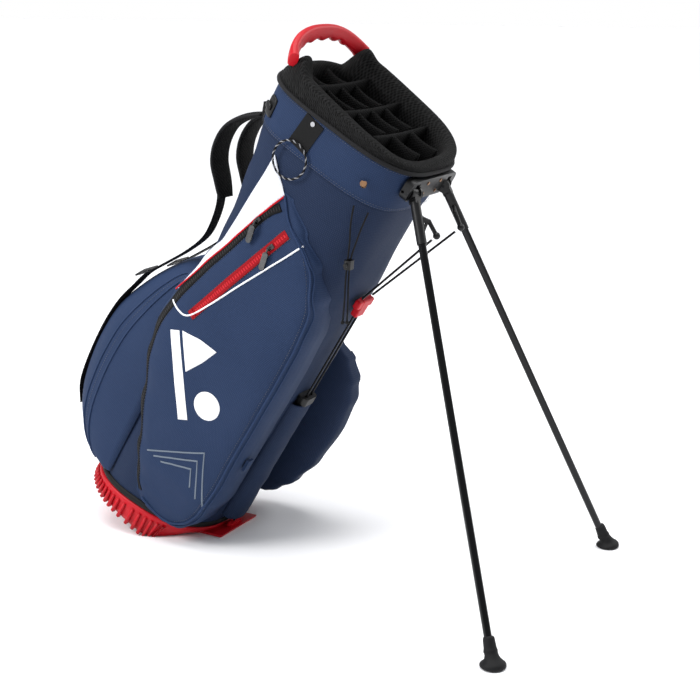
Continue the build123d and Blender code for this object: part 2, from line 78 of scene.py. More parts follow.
# ---- materials ----
class Shader:
    """A Principled material with short calls for its nodes."""

    def __init__(self, name, rough, metal=0.0, sheen=0.0, coat=0.0, spec=0.5):
        self.material = bpy.data.materials.new(name)
        self.material.use_nodes = True
        self.tree = self.material.node_tree
        self.bsdf = self.tree.nodes["Principled BSDF"]
        self.bsdf.inputs["Roughness"].default_value = rough
        self.bsdf.inputs["Metallic"].default_value = metal
        self.bsdf.inputs["Sheen Weight"].default_value = sheen
        self.bsdf.inputs["Sheen Roughness"].default_value = 0.45
        self.bsdf.inputs["Coat Weight"].default_value = coat
        self.bsdf.inputs["Specular IOR Level"].default_value = spec
        self.coords = self.tree.nodes.new("ShaderNodeTexCoord")

    def link(self, out, socket):
        self.tree.links.new(out, socket)

    def value(self, socket, source):
        if isinstance(source, (int, float)):
            socket.default_value = source
        else:
            self.link(source, socket)

    def node(self, kind, **inputs):
        """A new node of this kind, with its inputs set by name."""
        made = self.tree.nodes.new("ShaderNode" + kind)
        for name, value in inputs.items():
            made.inputs[name].default_value = value
        return made

    def scaled(self, kind, sx, sy, sz=1.0, turn=0.0):
        mapping = self.node("Mapping", Scale=(sx, sy, sz), Rotation=(0, 0, turn))
        self.link(self.coords.outputs[kind], mapping.inputs["Vector"])
        return mapping.outputs["Vector"]

    def noise(self, vector, scale, detail=3.0, rough=0.55):
        node = self.node("TexNoise", Scale=scale, Detail=detail, Roughness=rough)
        self.link(vector, node.inputs["Vector"])
        return node.outputs["Fac"]

    def wave(self, vector, scale, direction="X"):
        node = self.node("TexWave", Scale=scale, Distortion=0.0)
        node.bands_direction = direction
        self.link(vector, node.inputs["Vector"])
        return node.outputs["Fac"]

    def cells(self, vector, scale, randomness):
        node = self.node("TexVoronoi", Scale=scale, Randomness=randomness)
        self.link(vector, node.inputs["Vector"])
        return node.outputs["Distance"]

    def math(self, kind, a, b=0.0, clamp=False):
        node = self.tree.nodes.new("ShaderNodeMath")
        node.operation = kind
        node.use_clamp = clamp
        self.value(node.inputs[0], a)
        self.value(node.inputs[1], b)
        return node.outputs[0]

    def ramp(self, fac, stops):
        node = self.tree.nodes.new("ShaderNodeValToRGB")
        elements = node.color_ramp.elements
        while len(elements) < len(stops):
            elements.new(0.5)
        for element, (place, color) in zip(elements, stops):
            element.position = place
            element.color = (*color, 1)
        self.link(fac, node.inputs["Fac"])
        return node.outputs["Color"]

    def color(self, out):
        self.link(out, self.bsdf.inputs["Base Color"])

    def rough(self, fac, low, high):
        node = self.tree.nodes.new("ShaderNodeMapRange")
        node.inputs["To Min"].default_value = low
        node.inputs["To Max"].default_value = high
        self.link(fac, node.inputs["Value"])
        self.link(node.outputs["Result"], self.bsdf.inputs["Roughness"])

    def bump(self, height, strength, distance):
        node = self.node("Bump", Strength=strength, Distance=distance)
        self.link(height, node.inputs["Height"])
        self.link(node.outputs["Normal"], self.bsdf.inputs["Normal"])


def mix(a, b, share):
    return tuple(x + (y - x) * share for x, y in zip(a, b))


def woven(name, color, kind="UV", pitch=0.0016, dark=0.6, sheen=0.0, rough=0.7, strength=0.5):
    """A plain weave: over-and-under threads, slubs and broad soft variation."""
    s = Shader(name, rough, sheen=sheen, spec=0.16)
    scale = 1 / pitch / 20 * math.pi
    vector = s.scaled(kind, 1, 1)
    warp, weft = s.wave(vector, scale, "X"), s.wave(vector, scale, "Y" if kind == "UV" else "Z")
    weave = s.math("MULTIPLY", warp, weft)
    slub = s.noise(s.scaled(kind, 900, 120, 500), 1.0, 2.0)
    fleck = s.math("ADD", s.math("MULTIPLY", weave, 0.6), s.math("MULTIPLY", slub, 0.55))
    broad = s.noise(s.scaled("Object", 1, 1), 7.0, 4.0)
    tone = s.math("ADD", s.math("MULTIPLY", fleck, 0.75), s.math("MULTIPLY", broad, 0.35), clamp=True)
    light = mix(color, (1, 1, 1), 0.015)
    s.color(s.ramp(tone, [(0.12, tuple(c * dark for c in color)), (0.5, color), (0.9, light)]))
    s.rough(slub, rough - 0.08, rough + 0.12)
    s.bump(fleck, strength, 0.0004)
    return s.material


def air_mesh(name, scale=230.0, low=0.004, high=0.05, strength=0.9, kind="UV"):
    """Spacer mesh: rows of small round holes in a knitted face; the knit between the holes is painted grey as a
    highlight.
    """
    s = Shader(name, 0.85, spec=0.1)
    vector = s.scaled(kind, 1.0, 0.72, turn=0.6)
    hole = s.cells(vector, scale, 0.22)
    fibre = s.noise(s.scaled(kind, 1, 1), 1400.0, 2.0)
    tone = s.math("ADD", s.math("MULTIPLY", hole, 0.9), s.math("MULTIPLY", fibre, 0.22))
    # the grey of the knit between the holes is a painted highlight on the black mesh
    painted_highlight = (high, high, high * 1.04)
    s.color(s.ramp(tone, [(0.22, (low,) * 3), (0.55, (high * 0.5,) * 3), (0.85, painted_highlight)]))
    s.bump(s.math("MULTIPLY", hole, 1.0, clamp=True), strength, 0.0016)
    return s.material


def ribbed_webbing(name, color, pitch=0.0024, strength=0.8):
    s = Shader(name, 0.7, spec=0.2)
    ribs = s.wave(s.scaled("UV", 1, 1), 1 / pitch / 20 * math.pi, "Y")
    fibre = s.noise(s.scaled("UV", 1, 1), 1500.0, 2.0)
    tone = s.math("ADD", s.math("MULTIPLY", ribs, 0.55), s.math("MULTIPLY", fibre, 0.45))
    s.color(s.ramp(tone, [(0.15, tuple(c * 0.4 for c in color)), (0.8, color)]))
    s.bump(tone, strength, 0.0006)
    return s.material


def moulded(name, color, rough=0.42, grain=900.0, strength=0.12, spec=0.5, coat=0.0, edge_highlight=0.25):
    """Moulded plastic or rubber: fine grain, scuffs, and paler convex edges that are a painted highlight."""
    s = Shader(name, rough, spec=spec, coat=coat)
    vector = s.scaled("Object", 1, 1)
    fine, broad = s.noise(vector, grain, 2.0), s.noise(vector, 14.0, 5.0, 0.7)
    geometry = s.tree.nodes.new("ShaderNodeNewGeometry")
    # convex edges, found from pointiness, are painted paler: a painted highlight
    convexity = s.math("SUBTRACT", geometry.outputs["Pointiness"], 0.51)
    edge = s.math("MULTIPLY", convexity, 9.0 * edge_highlight, clamp=True)
    tone = s.math("ADD", s.math("MULTIPLY", broad, 0.8), edge, clamp=True)
    painted_highlight = mix(color, (1, 1, 1), 0.12)
    s.color(s.ramp(tone, [(0.2, tuple(c * 0.72 for c in color)), (0.5, color), (0.95, painted_highlight)]))
    s.rough(broad, rough - 0.08, rough + 0.14)
    s.bump(fine, strength, 0.0003)
    return s.material


def metal(name, color, rough=0.25, coat=0.0, brushed=0.06):
    s = Shader(name, rough, metal=1.0, coat=coat)
    vector = s.scaled("Object", 1, 1)
    streak, smudge = s.noise(s.scaled("Object", 600, 600, 40), 1.0, 2.0), s.noise(vector, 22.0, 4.0)
    s.color(s.ramp(smudge, [(0.25, tuple(c * 0.75 for c in color)), (0.75, color)]))
    s.rough(smudge, rough * 0.7, rough * 1.5)
    s.bump(streak, brushed, 0.0002)
    return s.material


def zip_teeth(name, color, across):
    """Coil teeth down the middle of a woven tape; across is the tape's width in metres."""
    s = Shader(name, 0.6, spec=0.15)
    uv = s.tree.nodes.new("ShaderNodeSeparateXYZ")
    s.link(s.coords.outputs["UV"], uv.inputs[0])
    middle = s.math("ABSOLUTE", s.math("SUBTRACT", uv.outputs[0], across / 2))
    teeth = s.wave(s.scaled("UV", 0, 1), 1 / 0.0026 / 20 * math.pi, "Y")
    inside = s.math("LESS_THAN", middle, 0.0032)
    height = s.math("MULTIPLY", teeth, inside)
    weave = s.noise(s.scaled("UV", 1, 1), 1600.0)
    tone = s.math("ADD", s.math("MULTIPLY", height, 0.6), s.math("MULTIPLY", weave, 0.4))
    light = mix(color, (1, 1, 1), 0.04)
    s.color(s.ramp(tone, [(0.12, tuple(c * 0.45 for c in color)), (0.6, color), (0.95, light)]))
    s.bump(tone, 1.0, 0.0012)
    return s.material


NAVY = (0.0125, 0.0275, 0.072)
# the navy cloth darkened by about a third: painted shade for the parts turned away from the light
NAVY_PAINTED_SHADE = (0.0085, 0.0185, 0.049)
RED = (0.46, 0.0015, 0.009)
MAIN_TAPE, CHEST_TAPE = 0.014, 0.0165  # the zip tapes' widths
navy = woven("navy_polyester", NAVY)
# a shaded copy of the navy cloth: painted shade on the wall, the far pocket and the sleeve
navy_painted_shade = woven("navy_cloth_painted_shade", NAVY_PAINTED_SHADE)
navy_dark = woven("navy_binding", tuple(c * 1.15 for c in NAVY))
white = woven("white_panel_cloth", (0.62, 0.64, 0.7), pitch=0.0014, dark=0.86, sheen=0.05,
              strength=0.25)
print_white = woven("white_print", (0.85, 0.86, 0.88), pitch=0.0014, dark=0.88, rough=0.5,
                    strength=0.3)
print_grey = woven("grey_print", (0.13, 0.16, 0.2), dark=0.8, rough=0.5)
charcoal = woven("charcoal_binding", (0.009, 0.009, 0.010), pitch=0.001)
black_cloth = woven("black_cloth", (0.008, 0.0085, 0.01), pitch=0.0018, sheen=0.06, strength=0.7)
lining = woven("lining_cloth", (0.006, 0.006, 0.007), sheen=0.02)
red_cloth = woven("red_piping_cloth", RED, pitch=0.0011, dark=0.7, sheen=0.08, strength=0.4)
white_cord = woven("white_piping_cloth", (0.8, 0.81, 0.84), pitch=0.0011, dark=0.8, sheen=0.05)
collar_mesh = air_mesh("collar_mesh", 235.0, 0.0003, 0.024)
rib_mesh = air_mesh("divider_mesh", 330.0, 0.0003, 0.012)
strap_mesh = air_mesh("strap_mesh", 260.0, 0.0012, 0.02)
webbing = ribbed_webbing("strap_webbing_weave", (0.008, 0.008, 0.009))
tab_weave = ribbed_webbing("tab_weave", (0.005, 0.005, 0.0055), pitch=0.0016, strength=0.5)
main_zip_mat = zip_teeth("main_zip_coil", (0.0035, 0.0035, 0.004), MAIN_TAPE)
chest_zip_mat = zip_teeth("chest_zip_coil", RED, CHEST_TAPE)
red_plastic = moulded("red_moulding", RED, rough=0.42, spec=0.25, edge_highlight=0.03)
black_plastic = moulded("black_moulding", (0.0045, 0.0046, 0.005), rough=0.36, spec=0.3, edge_highlight=0.05)
rubber = moulded("black_rubber", (0.0045, 0.0045, 0.005), rough=0.6, grain=500.0, strength=0.25,
                  spec=0.2, edge_highlight=0.05)
thread = moulded("seam_thread", (0.006, 0.0125, 0.032), rough=0.6, strength=0.4)
black_gloss = metal("black_anodised", (0.012, 0.012, 0.013), rough=0.16, coat=0.35)
black_steel = metal("black_steel", (0.014, 0.014, 0.015), rough=0.3, coat=0.1)
zip_enamel = moulded("zip_enamel", (0.003, 0.003, 0.0035), rough=0.2, coat=0.5, strength=0.02)
bronze = metal("aged_bronze", (0.36, 0.2, 0.11), rough=0.3)
silver = metal("bright_rivet", (0.75, 0.75, 0.78), rough=0.18)
cord_black = woven("cord_sheath", (0.004, 0.004, 0.0045), kind="Object", pitch=0.001)
braid_grey = moulded("braid_grey", (0.2, 0.2, 0.21), rough=0.7, strength=0.5)


# ---- mesh helpers ----
def new_object(name, mesh, material, body="bag"):
    obj = bpy.data.objects.new(name, mesh)
    bpy.context.collection.objects.link(obj)
    obj.data.materials.append(material)
    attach(obj, body)
    return obj


def smooth(mesh):
    for polygon in mesh.polygons:
        polygon.use_smooth = True


def mesh_from(bm, name):
    """A smooth-shaded mesh from a bmesh, which is then freed."""
    mesh = bpy.data.meshes.new(name)
    bm.to_mesh(mesh)
    bm.free()
    smooth(mesh)
    return mesh


def turns(count):
    """Angles shared evenly round a circle."""
    return [2 * math.pi * k / count for k in range(count)]


def grid(name, rows, material, closed=False, thick=0.0, levels=0, body="bag",
         caps=False):
    """A skin through rows of points in the row frame, with UVs in metres."""
    count = len(rows[0])
    vertices = [tuple(p) for line in rows for p in line]
    faces, uvs = [], []
    around = count if closed else count - 1
    across = []
    for line in rows:
        run = [0.0]
        for i in range(1, count + 1):
            run.append(run[-1] + (Vector(line[i % count]) - Vector(line[i - 1])).length)
        across.append(run)
    along = [[0.0] * (count + 1)]
    for before, line in zip(rows, rows[1:]):
        step = [(Vector(line[i % count]) - Vector(before[i % count])).length for i in range(count + 1)]
        along.append([a + b for a, b in zip(along[-1], step)])
    mean = [sum(line) / len(line) for line in along]
    for j in range(len(rows) - 1):
        for i in range(around):
            k = (i + 1) % count
            faces.append((j * count + i, j * count + k, (j + 1) * count + k, (j + 1) * count + i))
            uvs.append([(across[j][i], mean[j]), (across[j][i + 1], mean[j]),
                        (across[j + 1][i + 1], mean[j + 1]), (across[j + 1][i], mean[j + 1])])
    if caps:
        faces.append(tuple(range(count - 1, -1, -1)))
        faces.append(tuple((len(rows) - 1) * count + i for i in range(count)))
        uvs += [[(0, 0)] * count, [(0, 0)] * count]
    mesh = bpy.data.meshes.new(name)
    mesh.from_pydata(vertices, [], faces)
    layer = mesh.uv_layers.new(name="metres")
    for polygon, corners in zip(mesh.polygons, uvs):
        for loop, corner in zip(polygon.loop_indices, corners):
            layer.data[loop].uv = corner
    smooth(mesh)
    obj = new_object(name, mesh, material, body)
    fix_normals(obj)
    if levels:
        mod = obj.modifiers.new("round", "SUBSURF")
        mod.levels = mod.render_levels = levels
    if thick:
        mod = obj.modifiers.new("cloth", "SOLIDIFY")
        mod.thickness = thick
        mod.offset = -1
    return obj


def fix_normals(obj):
    bm = bmesh.new()
    bm.from_mesh(obj.data)
    bmesh.ops.recalc_face_normals(bm, faces=bm.faces)
    bm.to_mesh(obj.data)
    bm.free()


def catmull(points, count):
    """Evenly shared points on a smooth line through the given ones."""
    points = [Vector(p) for p in points]
    padded = [points[0] * 2 - points[1]] + points + [points[-1] * 2 - points[-2]]
    spans = len(points) - 1
    out = []
    for i in range(count):
        place = i / (count - 1) * spans
        k = min(int(place), spans - 1)
        t = place - k
        a, b, c, d = padded[k:k + 4]
        cubic = 2 * b + (c - a) * t + (2 * a - 5 * b + 4 * c - d) * t * t + (3 * b - a - 3 * c + d) * t ** 3
        out.append(0.5 * cubic)
    return out


def flat_line(line, count):
    """Evenly shared points on a smooth line through (v, u) points."""
    return [p.to_2d() for p in catmull([(v, u, 0) for v, u in line], count)]


def pick(table, u):
    """Smooth values at u from rows (u, value, value...)."""
    if u <= table[0][0]:
        return table[0][1:]
    for low, high in zip(table, table[1:]):
        if u <= high[0]:
            t = (u - low[0]) / (high[0] - low[0])
            t = t * t * (3 - 2 * t)
            return [a + (b - a) * t for a, b in zip(low[1:], high[1:])]
    return table[-1][1:]


def power_pair(turn, power):
    c, s = math.cos(turn), math.sin(turn)
    return math.copysign(abs(c) ** (2 / power), c), math.copysign(abs(s) ** (2 / power), s)


def tube(name, points, radius, material, body="bag", closed=False, sides=10):
    """A round tube along points in the row frame."""
    points = [Vector(p) for p in points]
    count = len(points)
    rows = []
    side = None
    for i, p in enumerate(points):
        ahead = points[(i + 1) % count] if closed or i < count - 1 else p
        behind = points[i - 1] if closed or i > 0 else p
        tangent = (ahead - behind).normalized()
        if side is None:
            side = tangent.orthogonal().normalized()
        side = (side - tangent * side.dot(tangent)).normalized()
        other = tangent.cross(side)
        rows.append([p + side * (math.cos(a) * radius) + other * (math.sin(a) * radius)
                     for a in turns(sides)])
    if closed:
        rows.append(rows[0])
    return grid(name, rows, material, closed=True, body=body, caps=not closed)


def stitches(name, points, material=thread, length=0.0034, gap=0.0018, width=0.0009):
    """A row of short raised stitches along a line of row-frame points."""
    points = [Vector(p) for p in points]
    bm = bmesh.new()
    place, wanted = 0.0, 0.0
    for a, b in zip(points, points[1:]):
        run = (b - a).length
        while run > 0 and wanted <= place + run:
            at = a + (b - a) * ((wanted - place) / run)
            tangent = (b - a).normalized()
            up = tangent.orthogonal().normalized()
            side = tangent.cross(up).normalized()
            matrix = Matrix((side, tangent, up)).transposed().to_4x4()
            matrix.translation = at
            made = bmesh.ops.create_icosphere(bm, subdivisions=1, radius=0.5)["verts"]
            bmesh.ops.scale(bm, vec=(width, length, width * 0.8), verts=made)
            bmesh.ops.transform(bm, matrix=matrix, verts=made)
            wanted += length + gap
        place += run
    return new_object(name, mesh_from(bm, name), material)


# ---- the bag's wall ----
WALL = (  # height, centre, half depth, half width, squareness
    (0.0, 0.006, 0.132, 0.1205, 2.4), (0.10, 0.006, 0.132, 0.119, 2.6), (0.22, 0.010, 0.131, 0.117, 3.1),
    (0.35, 0.014, 0.129, 0.116, 3.3), (0.58, 0.014, 0.129, 0.1155, 3.3), (0.68, 0.006, 0.133, 0.117, 3.3),
    (0.757, 0.001, 0.139, 0.1185, 3.3), (0.83, 0.0, 0.1415, 0.1195, 3.3))


def wall_point(turn, u, grow=0.0):
    centre, a, b, power = pick(WALL, u)
    c, s = power_pair(turn, power)
    return centre + (a + grow) * c, (b + grow) * s


def wall_across(v, u):
    """The wall's half width at v."""
    centre, a, b, power = pick(WALL, u)
    return b * max(0.0, 1 - abs((v - centre) / a) ** power) ** (1 / power)


def fold(v, w, u, size=0.0016):
    """Soft creases in the cloth, longer along the bag than round it."""
    low = noise.noise(Vector((v * 16, w * 16, u * 9))) * size
    return low + noise.noise(Vector((v * 40 + 5, w * 40, u * 17 + u * v * 60))) * size * 0.45


BAND_FOOT, BAND_TOP = 0.757, 0.829  # the fabric band under the collar, along the axis
BAND_OUT = 0.0018  # how far the band stands out from the wall
BASE_SLOPE = 0.15  # the base's top edge rises towards the legs


def make_wall():
    rows = []
    for j in range(96):
        line = []
        for turn in turns(120):
            v, w = wall_point(turn, 0.0)
            low = 0.0145 + BASE_SLOPE * v
            u = low + (BAND_FOOT - low) * j / 95
            v, w = wall_point(turn, u)
            dent = fold(v, w, u, 0.0026 * math.sin(math.pi * j / 95) ** 0.5 + 0.0002)
            v, w = wall_point(turn, u, dent)
            line.append(row(v, w, u))
        rows.append(line)
    # the wall cloth takes the navy with painted shade
    skin = grid("bag_wall_cloth", rows, navy_painted_shade, closed=True, thick=0.0022)
    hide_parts("wall_front_panel", "wall_back_panel", "wall_near_panel", "wall_far_panel")
    rows = []
    for j in range(14):
        u = BAND_FOOT - 0.0025 + (BAND_TOP - (BAND_FOOT - 0.0025)) * j / 13
        belly = 0.0016 * math.sin(math.pi * j / 13)
        line = []
        for turn in turns(140):
            v, w = wall_point(turn, u, BAND_OUT + belly)
            dent = fold(v * 1.6, w * 1.6, u, 0.0008)
            line.append(row(*wall_point(turn, u, BAND_OUT + belly + dent), u))
        rows.append(line)
    band = grid("collar_band_cloth", rows, navy, closed=True, thick=0.0015)
    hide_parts("collar_band")
    for at, out in ((0.7565, 0.0036), (0.7605, 0.0042), (0.824, 0.0038)):
        line = [row(*wall_point(2 * math.pi * i / 160, at, out), at) for i in range(161)]
        stitches("band_stitch_%d" % round(at * 1e4), line)


make_wall()

# ---- mesh collar with its raised back corners ----
COLLAR_POWER = 3.3


def collar_point(turn, half_v, half_w, power=COLLAR_POWER):
    c, s = power_pair(turn, power)
    return half_v * c, half_w * s


def step(low, high, value):
    t = max(0.0, min(1.0, (value - low) / (high - low)))
    return t * t * (3 - 2 * t)


def rim_height(turn):
    """The rim falls towards the legs, and drops between two arms under the handle."""
    v, w = collar_point(turn, 0.14, 0.116)
    side = 0.869 - 0.115 * v + 0.008 * max(-1, min(1, w / 0.1))
    arm = (0.010 if w > 0 else 0.022) * step(-0.075, -0.105, v)
    gap = step(-0.085, -0.125, v) * step(0.104, 0.084, abs(w))
    front = step(0.07, 0.14, v)
    height = side + arm - 0.004 * front
    return height + (0.851 - height) * gap


def make_collar():
    profile = (  # how far in from the outside, and how far down from the rim, as shares
        (0.00, 1.0), (-0.02, 0.75), (0.00, 0.5), (0.05, 0.28), (0.16, 0.12), (0.34, 0.02), (0.55, 0.0),
        (0.78, 0.05), (0.94, 0.18), (1.0, 0.4), (1.0, 0.7), (1.0, 1.0))
    rows = []
    for inward, drop in profile:
        line = []
        for turn in turns(240):
            top = rim_height(turn)
            foot = 0.8335 if inward < 0.5 else 0.80
            outer = Vector(collar_point(turn, 0.1475, 0.1225))
            inner = Vector(collar_point(turn, 0.1255, 0.0965, 3.2))
            at = outer.lerp(inner, inward)
            lean_in = 1 - 0.02 * max(0.0, top - 0.872) / 0.02 * (1 - drop)
            u = top - (top - foot) * drop
            puff = 1 + fold(at.x * 1.4, at.y * 1.4, u, 0.004)
            back = lean_in if at.x < 0 else 1
            line.append(row(at.x * puff * back, at.y * puff * (1 - (1 - lean_in) * 0.35), u))
        rows.append(line)
    rows.append([p + (row(0, 0, 0.76) - row(0, 0, 0.80)) for p in rows[-1]])
    skin = grid("collar_mesh_pad", rows, collar_mesh, closed=True, levels=1)
    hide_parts("top_collar", "mouth_liner", "handle_arms")
    ring = [row(*collar_point(turn, 0.1488, 0.1238), 0.8305) for turn in turns(160)]
    beading = tube("collar_binding", ring, 0.0036, charcoal, closed=True, sides=12)
    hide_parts("collar_piping")
    seam = [row(*collar_point(2 * math.pi * i / 160, 0.1492, 0.1242), 0.8375) for i in range(161)]
    stitches("collar_stitch", seam, charcoal, 0.003, 0.002)


make_collar()


# ---- dividers ----
def padded_rib(name, a, b, low, high, thick, sag):
    """A mesh-covered strap on edge between two points of the mouth."""
    a, b = Vector(a), Vector(b)
    along = (b - a).normalized()
    side = Vector((-along.y, along.x))
    rows = []
    for j in range(17):
        t = j / 16
        at = a.lerp(b, t)
        dip = sag * math.sin(math.pi * t)
        line = []
        for turn in turns(20):
            c, s = power_pair(turn, 3.0)
            p = at + side * (c * thick / 2 * (1 + 0.15 * math.sin(math.pi * t)))
            line.append(row(p.x, p.y, (low + high) / 2 + s * (high - low) / 2 - (dip if s > 0 else 0)))
        rows.append(line)
    return grid(name, rows, rib_mesh, closed=True, caps=True)


def make_dividers():
    low, high = 0.802, 0.853
    for i, x in enumerate((-0.070, -0.003, 0.062)):
        reach = 0.0955 * (1 - abs(x / 0.1255) ** 3.2) ** (1 / 3.2)
        top = high - 0.05 * x
        padded_rib("divider_cross_%d" % (i + 1), (x, -reach), (x, reach), low, top,
                                0.009, 0.004)
        stitch = [row(x, reach * (k / 40 * 2 - 1), top + 0.0002 - 0.004 * math.sin(math.pi * k / 40))
                  for k in range(41)]
        stitches("divider_cross_binding_%d" % (i + 1), stitch, charcoal, 0.003, 0.0024)
    rows = ((-0.118, -0.075, (-0.032, 0.032)), (-0.065, -0.008, (-0.046, 0, 0.046)),
            (0.002, 0.057, (-0.046, 0, 0.046)), (0.067, 0.121, (-0.032, 0.032)))
    for j, (start, end, places) in enumerate(rows):
        for k, w in enumerate(places):
            name = "divider_short_%d_%d" % (j + 1, k + 1)
            padded_rib(name, (start, w), (end, w), low, high - 0.004, 0.0075, 0.003)
            line = [row(start + (end - start) * n / 14, w, high - 0.0038 - 0.003 * math.sin(math.pi * n / 14))
                    for n in range(15)]
            stitches(name + "_binding", line, charcoal, 0.0026, 0.0026)
    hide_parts("divider_cross_ribs")
    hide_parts("divider_short_ribs")


make_dividers()


# ---- lift handle with finger grooves ----
def make_handle():
    half = [(-0.111, -0.1125, 0.8775), (-0.1235, -0.099, 0.8865), (-0.135, -0.074, 0.8965),
            (-0.141, -0.040, 0.9035)]
    arch = catmull(half + [(-0.1425, 0, 0.9055)] + [(v, -w, u) for v, w, u in half[::-1]], 120)
    rows = []
    for i, p in enumerate(arch):
        t = i / 119
        ahead, behind = arch[min(i + 1, 119)], arch[max(i - 1, 0)]
        tangent = (ahead - behind).normalized()
        deep = Vector((-0.25, 0, 0.97))
        deep = (deep - tangent * deep.dot(tangent)).normalized()
        wide = tangent.cross(deep)
        grip = max(0.0, 1 - abs(t - 0.5) / 0.3)
        groove = 0.0024 * math.cos((t - 0.5) / 0.6 * 2 * math.pi * 5) * min(1, grip * 4)
        half_wide = 0.0075 + 0.0008 * abs(2 * t - 1) ** 3
        half_deep = 0.0125 + 0.003 * abs(2 * t - 1) ** 4
        line = []
        for turn in turns(24):
            c, s = power_pair(turn, 2.7)
            down = groove if s < 0 else 0
            line.append(row(*(p + wide * (c * half_wide) + deep * (s * (half_deep + down * abs(s))))))
        rows.append(line)
    grip = grid("lift_handle_grip", rows, red_plastic, closed=True, levels=1, caps=True)
    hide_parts("lift_handle")


make_handle()

# ---- near-side apparel pocket ----
NEAR = (  # height, left edge, right edge, how far it stands out from the middle of the bag
    (0.022, 0.020, 0.085, 0.1285), (0.036, -0.004, 0.118, 0.1335), (0.07, -0.024, 0.136, 0.1385),
    (0.13, -0.052, 0.148, 0.1430), (0.22, -0.088, 0.148, 0.1460), (0.30, -0.116, 0.148, 0.1475),
    (0.36, -0.125, 0.149, 0.1475), (0.42, -0.119, 0.149, 0.1465), (0.50, -0.100, 0.146, 0.1430),
    (0.57, -0.077, 0.131, 0.1375), (0.62, -0.062, 0.100, 0.1310), (0.655, -0.050, 0.055, 0.1265),
    (0.692, -0.032, 0.004, 0.1215))
NEAR_LEFT, NEAR_RIGHT, NEAR_ROOT = 4.5, 6.5, 0.060


def near_w(v, u, lift=0.0):
    """Y of the apparel pocket's face, in the bag's frame."""
    left, right, out = pick(NEAR, u)
    middle, half = (left + right) / 2, (right - left) / 2
    power = NEAR_LEFT if v < middle else NEAR_RIGHT
    share = min(1.0, abs((v - middle) / half))
    belly = 0.004 * (1 - share ** 2) * step(0.02, 0.12, u) * step(0.7, 0.5, u)
    face = NEAR_ROOT + (out - NEAR_ROOT) * (1 - share ** power) ** (1 / power) + belly - 0.0025
    crease = 0.0032 * noise.noise(Vector((v * 11 + u * 6, u * 8 - v * 5, 0.5)))
    crease += 0.0008 * noise.noise(Vector((v * 50 + u * 40, u * 22, 2)))
    crease *= 1 - share ** 3
    return -(max(face, wall_across(v, u) + 0.0012) + crease + lift)


def near(v, u, lift=0.0):
    return row(v, near_w(v, u, lift), u)


def make_near_pocket():
    rows = []
    for j in range(120):
        t = j / 119
        u = NEAR[0][0] + (NEAR[-1][0] - NEAR[0][0]) * t
        left, right, out = pick(NEAR, u)
        middle, half = (left + right) / 2, (right - left) / 2
        line = []
        for i in range(61):
            turn = math.pi * (1 - i / 60)
            c, s = power_pair(turn, NEAR_LEFT if i < 30 else NEAR_RIGHT)
            v = middle + half * c
            if s < 0.6:
                w = -(NEAR_ROOT + (out - NEAR_ROOT) * s)
                line.append(row(v, w, u))
            else:
                line.append(near(v, u))
        rows.append(line)
    skin = grid("apparel_pocket_cloth", rows, navy, thick=0.0016)
    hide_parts("apparel_pocket")


make_near_pocket()


def decal(name, outline, material, lift, cuts, thick):
    """A flat shape sewn or printed on a pocket's face; outline is (v, u) points."""
    bm = bmesh.new()
    loop = [bm.verts.new((v, u, 0)) for v, u in outline]
    bm.faces.new(loop)
    bmesh.ops.triangulate(bm, faces=bm.faces[:])
    for _ in range(cuts):
        longest = [e for e in bm.edges if e.calc_length() > 0.007]
        if not longest:
            break
        bmesh.ops.subdivide_edges(bm, edges=longest, cuts=1)
        bmesh.ops.triangulate(bm, faces=bm.faces[:])
    layer = bm.loops.layers.uv.new("metres")
    for face in bm.faces:
        for corner in face.loops:
            corner[layer].uv = corner.vert.co.xy
    for vert in bm.verts:
        v, u = vert.co.x, vert.co.y
        vert.co = near(v, u, lift)
    obj = new_object(name, mesh_from(bm, name), material)
    fix_normals(obj)
    mod = obj.modifiers.new("cloth", "SOLIDIFY")
    mod.thickness = thick
    mod.offset = 1
    return obj


def on_near(line, lift, count):
    """Row-frame points on the near side, along a smooth line of (v, u) points."""
    return [near(p.x, p.y, lift) for p in flat_line(line, count)]


def near_band(name, line, width, material, lift, thick=0.0012, count=60):
    """A tape sewn along a line of (v, u) points on the near side."""
    points = flat_line(line, count)
    rows = []
    for i, p in enumerate(points):
        tangent = (points[min(i + 1, count - 1)] - points[max(i - 1, 0)]).normalized()
        side = Vector((tangent.y, -tangent.x))
        rows.append([near(*(p + side * (width * (k / 6 - 0.5))), lift) for k in range(7)])
    return grid(name, rows, material, thick=thick)


def near_piping(name, line, radius, material, lift=0.0, count=80):
    return tube(name, on_near(line, lift, count), radius, material, sides=8)


# Lines on the near side, as (v, u) points: the white panel's two edges, the zips, the pipings.
WHITE_EDGE = ((-0.0125, 0.687), (-0.034, 0.632), (-0.056, 0.566), (-0.078, 0.505), (-0.097, 0.452),
              (-0.1085, 0.424))
WHITE_BACK = ((-0.0625, 0.733), (-0.066, 0.69), (-0.0735, 0.626), (-0.083, 0.55), (-0.092, 0.49),
              (-0.104, 0.430))
MAIN_ZIP = ((-0.008, 0.668), (-0.026, 0.640), (-0.053, 0.559), (-0.080, 0.478), (-0.099, 0.405),
            (-0.106, 0.345), (-0.096, 0.285), (-0.066, 0.205), (-0.036, 0.13), (-0.010, 0.068),
            (0.008, 0.044))
CHEST_ZIP = ((0.024, 0.6335), (0.020, 0.622), (-0.046, 0.430), (-0.048, 0.424))
WHITE_LINE = ((0.060, 0.640), (0.046, 0.610), (0.028, 0.573), (-0.002, 0.512), (-0.026, 0.462),
              (-0.046, 0.424), (-0.060, 0.408), (-0.078, 0.405), (-0.100, 0.408))
PANEL_EDGE = ((-0.0125, 0.687), (0.022, 0.655), (0.078, 0.624), (0.114, 0.578), (0.133, 0.525),
              (0.139, 0.438), (0.139, 0.333), (0.138, 0.240), (0.138, 0.150), (0.128, 0.080),
              (0.104, 0.044), (0.070, 0.030), (0.020, 0.036))


